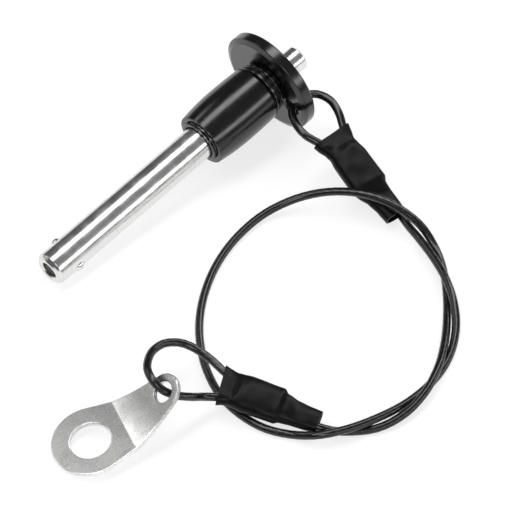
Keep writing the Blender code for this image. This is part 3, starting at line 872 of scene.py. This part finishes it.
def make_spring(steel):
    """The return spring, as the CAD has it, on a mesh of its own. The real spring is squeezed towards its
    seat as the button goes in; nothing here squeezes it.
    """
    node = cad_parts["return_spring"]
    spring = bpy.data.objects.new("spring", node.data.copy())
    bpy.context.scene.collection.objects.link(spring)
    spring.matrix_world = node.matrix_world
    spring.data.materials.clear()
    spring.data.materials.append(steel)
    show(spring, "handle", "spring_steel", "return_spring")
    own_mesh(spring)


# ---------------------------------------------------------------- lanyard

def sleeve_frame(sleeve):
    """The sleeve's own axes as a matrix: x across its wide side, y through it, z along it."""
    mouth = Vector(sleeve["mouth"]) * MM
    along = (Vector(sleeve["end"]) * MM - mouth).normalized()
    level = along.cross(Vector((0, 0, 1))).normalized() * -1
    wide = Matrix.Rotation(math.radians(-sleeve["roll"]), 3, along) @ level
    through = along.cross(wide)
    placed = Matrix((wide, through, along)).transposed().to_4x4()
    placed.translation = mouth
    return placed


def beside(sleeve, pairs):
    """World points from (along, aside) pairs in millimetres in a sleeve's wide plane."""
    placed = sleeve_frame(sleeve)
    side = sleeve["long_side"] * MM
    return [placed @ Vector((aside * side, 0, along * MM)) for along, aside in pairs]


def through_points(points):
    """A smooth curve through the points, as a function of the length along their chords."""
    stations = [0.0]
    for a, b in zip(points, points[1:]):
        stations.append(stations[-1] + (b - a).length)
    chords = []
    for i in range(len(points) - 1):
        chords.append((points[i + 1] - points[i]) / (stations[i + 1] - stations[i]))
    slopes = [chords[0]]
    for i in range(1, len(chords)):
        before = stations[i] - stations[i - 1]
        after = stations[i + 1] - stations[i]
        slopes.append((chords[i - 1] * after + chords[i] * before) / (before + after))
    slopes.append(chords[-1])

    def at(station):
        i = max(k for k in range(len(chords)) if stations[k] <= station or k == 0)
        span = stations[i + 1] - stations[i]
        t = (station - stations[i]) / span
        start = points[i] * (1 + 2 * t) + slopes[i] * span * t
        end = points[i + 1] * (3 - 2 * t) + slopes[i + 1] * span * (t - 1)
        return start * (1 - t) ** 2 + end * t**2

    return at, stations[-1]


def cord_line(spacing):
    """Even points along the cord, from its end in the pin's sleeve to that in the tab's."""
    points = beside(PIN_SLEEVE, PIN_SLEEVE["short_leg"][::-1]) + [Vector(p) * MM for p in PIN_LOOP]
    points += beside(PIN_SLEEVE, PIN_SLEEVE["long_leg"]) + [Vector(p) * MM for p in TABLE_RUN]
    points += beside(TAB_SLEEVE, TAB_SLEEVE["long_leg"][::-1]) + [Vector(p) * MM for p in TAB_LOOP]
    points += beside(TAB_SLEEVE, TAB_SLEEVE["short_leg"])
    at, length = through_points(points)
    count = round(length / spacing)
    return [at(length * k / count) for k in range(count + 1)]


def make_cord(black):
    """The coated rope: its strands show through the coat as a shallow twist."""
    line = cord_line(0.5 * MM)
    sides = 28
    strands = 7
    pitch = 13 * MM
    depth = 0.045 * MM
    bm = bmesh.new()
    rings = []
    normal = Vector((0, 0, 1))
    travelled = 0.0
    for i, point in enumerate(line):
        ahead = line[min(i + 1, len(line) - 1)] - line[max(i - 1, 0)]
        tangent = ahead.normalized()
        normal = (normal - tangent * normal.dot(tangent)).normalized()
        side = tangent.cross(normal)
        if i:
            travelled += (point - line[i - 1]).length
        ring = []
        for k in range(sides):
            angle = TURN * k / sides
            strand = math.cos(strands * (angle + TURN * travelled / pitch))
            radius = CORD_RADIUS - depth * (0.5 - 0.5 * strand) ** 2
            ring.append(bm.verts.new(point + (normal * math.cos(angle) + side * math.sin(angle)) * radius))
        rings.append(ring)
    for last, ring in zip(rings, rings[1:]):
        for k in range(sides):
            n = (k + 1) % sides
            bm.faces.new((last[k], last[n], ring[n], ring[k]))
    bm.faces.new(rings[0][::-1])
    bm.faces.new(rings[-1])
    cord = finished("lanyard_cord_coated", bm, Matrix(), black)
    show(cord, "handle", "cord_coating", "lanyard_cord")
    length = sum((b - a).length for a, b in zip(line, line[1:]))
    return cord, line, length


def section_at(sleeve, along):
    """The sleeve's reaches and half thickness at a place along it."""
    sections = sleeve["outline"]
    for first, second in zip(sections, sections[1:]):
        if along <= second[0]:
            t = (along - first[0]) / (second[0] - first[0])
            t = (t * t * (3 - 2 * t) + t) / 2
            return [a + (b - a) * t for a, b in zip(first[1:], second[1:])]
    return list(sections[-1][1:])


def make_sleeve(name, node, sleeve, rubber, seed):
    """Shrunk tube over the ferrule and its two legs: an even wall, drawn in between them at the mouth."""
    count = 72
    rows = 84
    wall = 0.36
    squareness = 2.6
    deepest_pinch = 0.3
    lump_height = 0.16
    mouth_slant = 0.5
    length = sleeve["outline"][-1][0]
    outer = []
    inner = []
    for row in range(rows + 1):
        along = length * row / rows
        short_reach, long_reach, thick = section_at(sleeve, along)
        half_width = (short_reach + long_reach) / 2
        middle = sleeve["long_side"] * (long_reach - short_reach) / 2
        pinch = deepest_pinch * max(0, 1 - along / sleeve["ferrule"]) ** 0.7
        ring_out = []
        ring_in = []
        for k in range(count):
            angle = TURN * k / count
            c = math.cos(angle)
            s = math.sin(angle)
            x = math.copysign(abs(c) ** (2 / squareness), c)
            y = math.copysign(abs(s) ** (2 / squareness), s)
            waist = 1 - pinch * (1 - x * x) ** 2
            lump = noise.noise(Vector((x * 1.5, y * 1.2, along * 0.28)) + Vector((seed, 0, 0)))
            swell = lump_height * lump * min(1, along / 2)
            slant = mouth_slant * x * (1 - row / rows) ** 6
            for ring, inset in ((ring_out, 0), (ring_in, wall)):
                wide = x * (half_width - inset + swell * 0.3)
                through = y * (thick * waist - inset + swell)
                ring.append((middle + wide, through, along - slant))
        outer.append(ring_out)
        inner.append(ring_in)
    bm = bmesh.new()
    loops = []
    for ring in outer + inner[::-1]:
        loops.append([bm.verts.new(Vector(p) * MM) for p in ring])
    for i, loop in enumerate(loops):
        last = loops[i - 1]
        for k in range(count):
            n = (k + 1) % count
            bm.faces.new((last[k], last[n], loop[n], loop[k]))
    made = finished(name, bm, sleeve_frame(sleeve), rubber, 60, baked=True)
    return show(made, "handle", "heat_shrink", node)


# ---------------------------------------------------------------- tab

def tab_frame():
    """The tab's own axes: the origin is in the middle of its small hole."""
    turn = Matrix.Rotation(TAB_HEADING, 4, "Z") @ Matrix.Rotation(-TAB_PITCH, 4, "Y")
    return Matrix.Translation(Vector(SMALL_HOLE_PLACE) * MM) @ turn


def tab_bent(station, side, height):
    """Where a point of the flat plate lies once it is bent, in millimetres from its large hole."""
    along = min(station, TAB_TURNS[0][0])
    up = 0.0
    angle = 0.0
    for (start, first), (end, last) in zip(TAB_TURNS, TAB_TURNS[1:]):
        passed = min(max(station - start, 0), end - start)
        turned_by = math.radians(last - first) * passed / (end - start)
        middle = angle + turned_by / 2
        chord = passed * (math.sin(turned_by / 2) / (turned_by / 2) if turned_by > 1e-9 else 1)
        along += chord * math.cos(middle)
        up += chord * math.sin(middle)
        angle += turned_by
    after = max(station - TAB_TURNS[-1][0], 0)
    along += after * math.cos(angle)
    up += after * math.sin(angle)
    return Vector((along - height * math.sin(angle), side, up + height * math.cos(angle)))


def tab_outline(count=64):
    """The flat plate's outline: a round at each end and the straight tangents between them."""
    large = TAB_LARGE_RADIUS
    small = TAB_SMALL_RADIUS
    lean = math.asin((large - small) / SMALL_HOLE_STATION)
    points = []
    for k in range(count + 1):
        angle = math.pi / 2 - lean + (math.pi + 2 * lean) * k / count
        points.append((large * math.cos(angle), large * math.sin(angle)))
    for k in range(count + 1):
        angle = -math.pi / 2 + lean + (math.pi - 2 * lean) * k / count
        points.append((SMALL_HOLE_STATION + small * math.cos(angle), small * math.sin(angle)))
    return points


def ring_of_edges(bm, points, height):
    """A closed ring of edges through level points."""
    verts = [bm.verts.new((x, y, height)) for x, y in points]
    return [bm.edges.new((verts[k - 1], verts[k])) for k in range(len(verts))]


def circle(x, radius, count):
    """Points round a circle whose middle is on the x axis."""
    angles = (TURN * k / count for k in range(count))
    return [(x + radius * math.cos(a), radius * math.sin(a)) for a in angles]


def make_tab(steel):
    """A stamped plate: rounded at its edges, bent up before its small hole."""
    bm = bmesh.new()
    edges = []
    large_hole = circle(0, LARGE_HOLE_RADIUS, 72)
    small_hole = circle(SMALL_HOLE_STATION, SMALL_HOLE_RADIUS, 48)
    for points in (tab_outline(), large_hole, small_hole):
        edges += ring_of_edges(bm, points, -TAB_THICKNESS / 2)
    bmesh.ops.triangle_fill(bm, use_beauty=True, use_dissolve=False, edges=edges)
    raised = bmesh.ops.extrude_face_region(bm, geom=bm.faces[:])["geom"]
    upper = [v for v in raised if isinstance(v, bmesh.types.BMVert)]
    bmesh.ops.translate(bm, vec=(0, 0, TAB_THICKNESS), verts=upper)
    bmesh.ops.recalc_face_normals(bm, faces=bm.faces)
    rims = [e for e in bm.edges if e.calc_face_angle(0) > 1]
    bmesh.ops.bevel(bm, geom=rims, offset=TAB_EDGE_ROUNDING, segments=5, profile=0.5, affect="EDGES")
    crease = TAB_TURNS[0][0]
    sweep = TAB_TURNS[1][0]
    end = TAB_TURNS[-1][0]
    cuts = [crease + (sweep - crease) * k / 8 for k in range(9)]
    cuts += [sweep + (end - sweep) * k / 14 for k in range(1, 15)]
    for cut in cuts:
        whole = bm.verts[:] + bm.edges[:] + bm.faces[:]
        bmesh.ops.bisect_plane(bm, geom=whole, dist=1e-5, plane_co=(cut, 0, 0), plane_no=(1, 0, 0))
    origin = tab_bent(SMALL_HOLE_STATION, 0, 0)
    placed = tab_frame()
    for vert in bm.verts:
        vert.co = placed @ ((tab_bent(*vert.co) - origin) * MM)
    return show(finished("fixing_tab", bm, Matrix(), steel), "tab", "stainless", "tab")


def main():
    make_camera()
    make_floor()
    make_backdrop()
    make_world()

    bright = turned_metal("turned_stainless", (0.8, 0.8, 0.79), 0.2, 0.22, 0.05)
    polished = plain_metal("polished_stainless", (0.82, 0.82, 0.81), 0.12)
    black = anodised("black_anodised", PIN_AXIS)
    make_shank(bright)
    make_spindle(bright)
    make_ball("ball_lower", polished, BALL_ANGLE)
    make_ball("ball_upper", polished, BALL_ANGLE + math.pi)
    make_barrel(black)
    make_flange(black)
    make_collar(black)
    make_neck_ring(black)
    make_button(bright)

    inner = plain_metal("inner_steel", (0.55, 0.55, 0.56), 0.32)
    crimp = plain_metal("crimped_aluminium", (0.68, 0.69, 0.7), 0.38)
    repaint(inner, "spring_seat", "button_cross_pin")
    repaint(crimp, "pin_ferrule", "tab_ferrule")
    make_spring(inner)

    cord, line, length = make_cord(coating("coated_rope"))
    for end, sleeve, seed in (("pin", PIN_SLEEVE, 3.1), ("tab", TAB_SLEEVE, 8.7)):
        rubber = heat_shrink("heat_shrink_" + end + "_end", sleeve_frame(sleeve))
        make_sleeve("sleeve_" + end + "_end", end + "_sleeve", sleeve, rubber, seed)
    tab = make_tab(satin_plate("satin_stainless", (0.88, 0.88, 0.87), tab_frame()))


main()
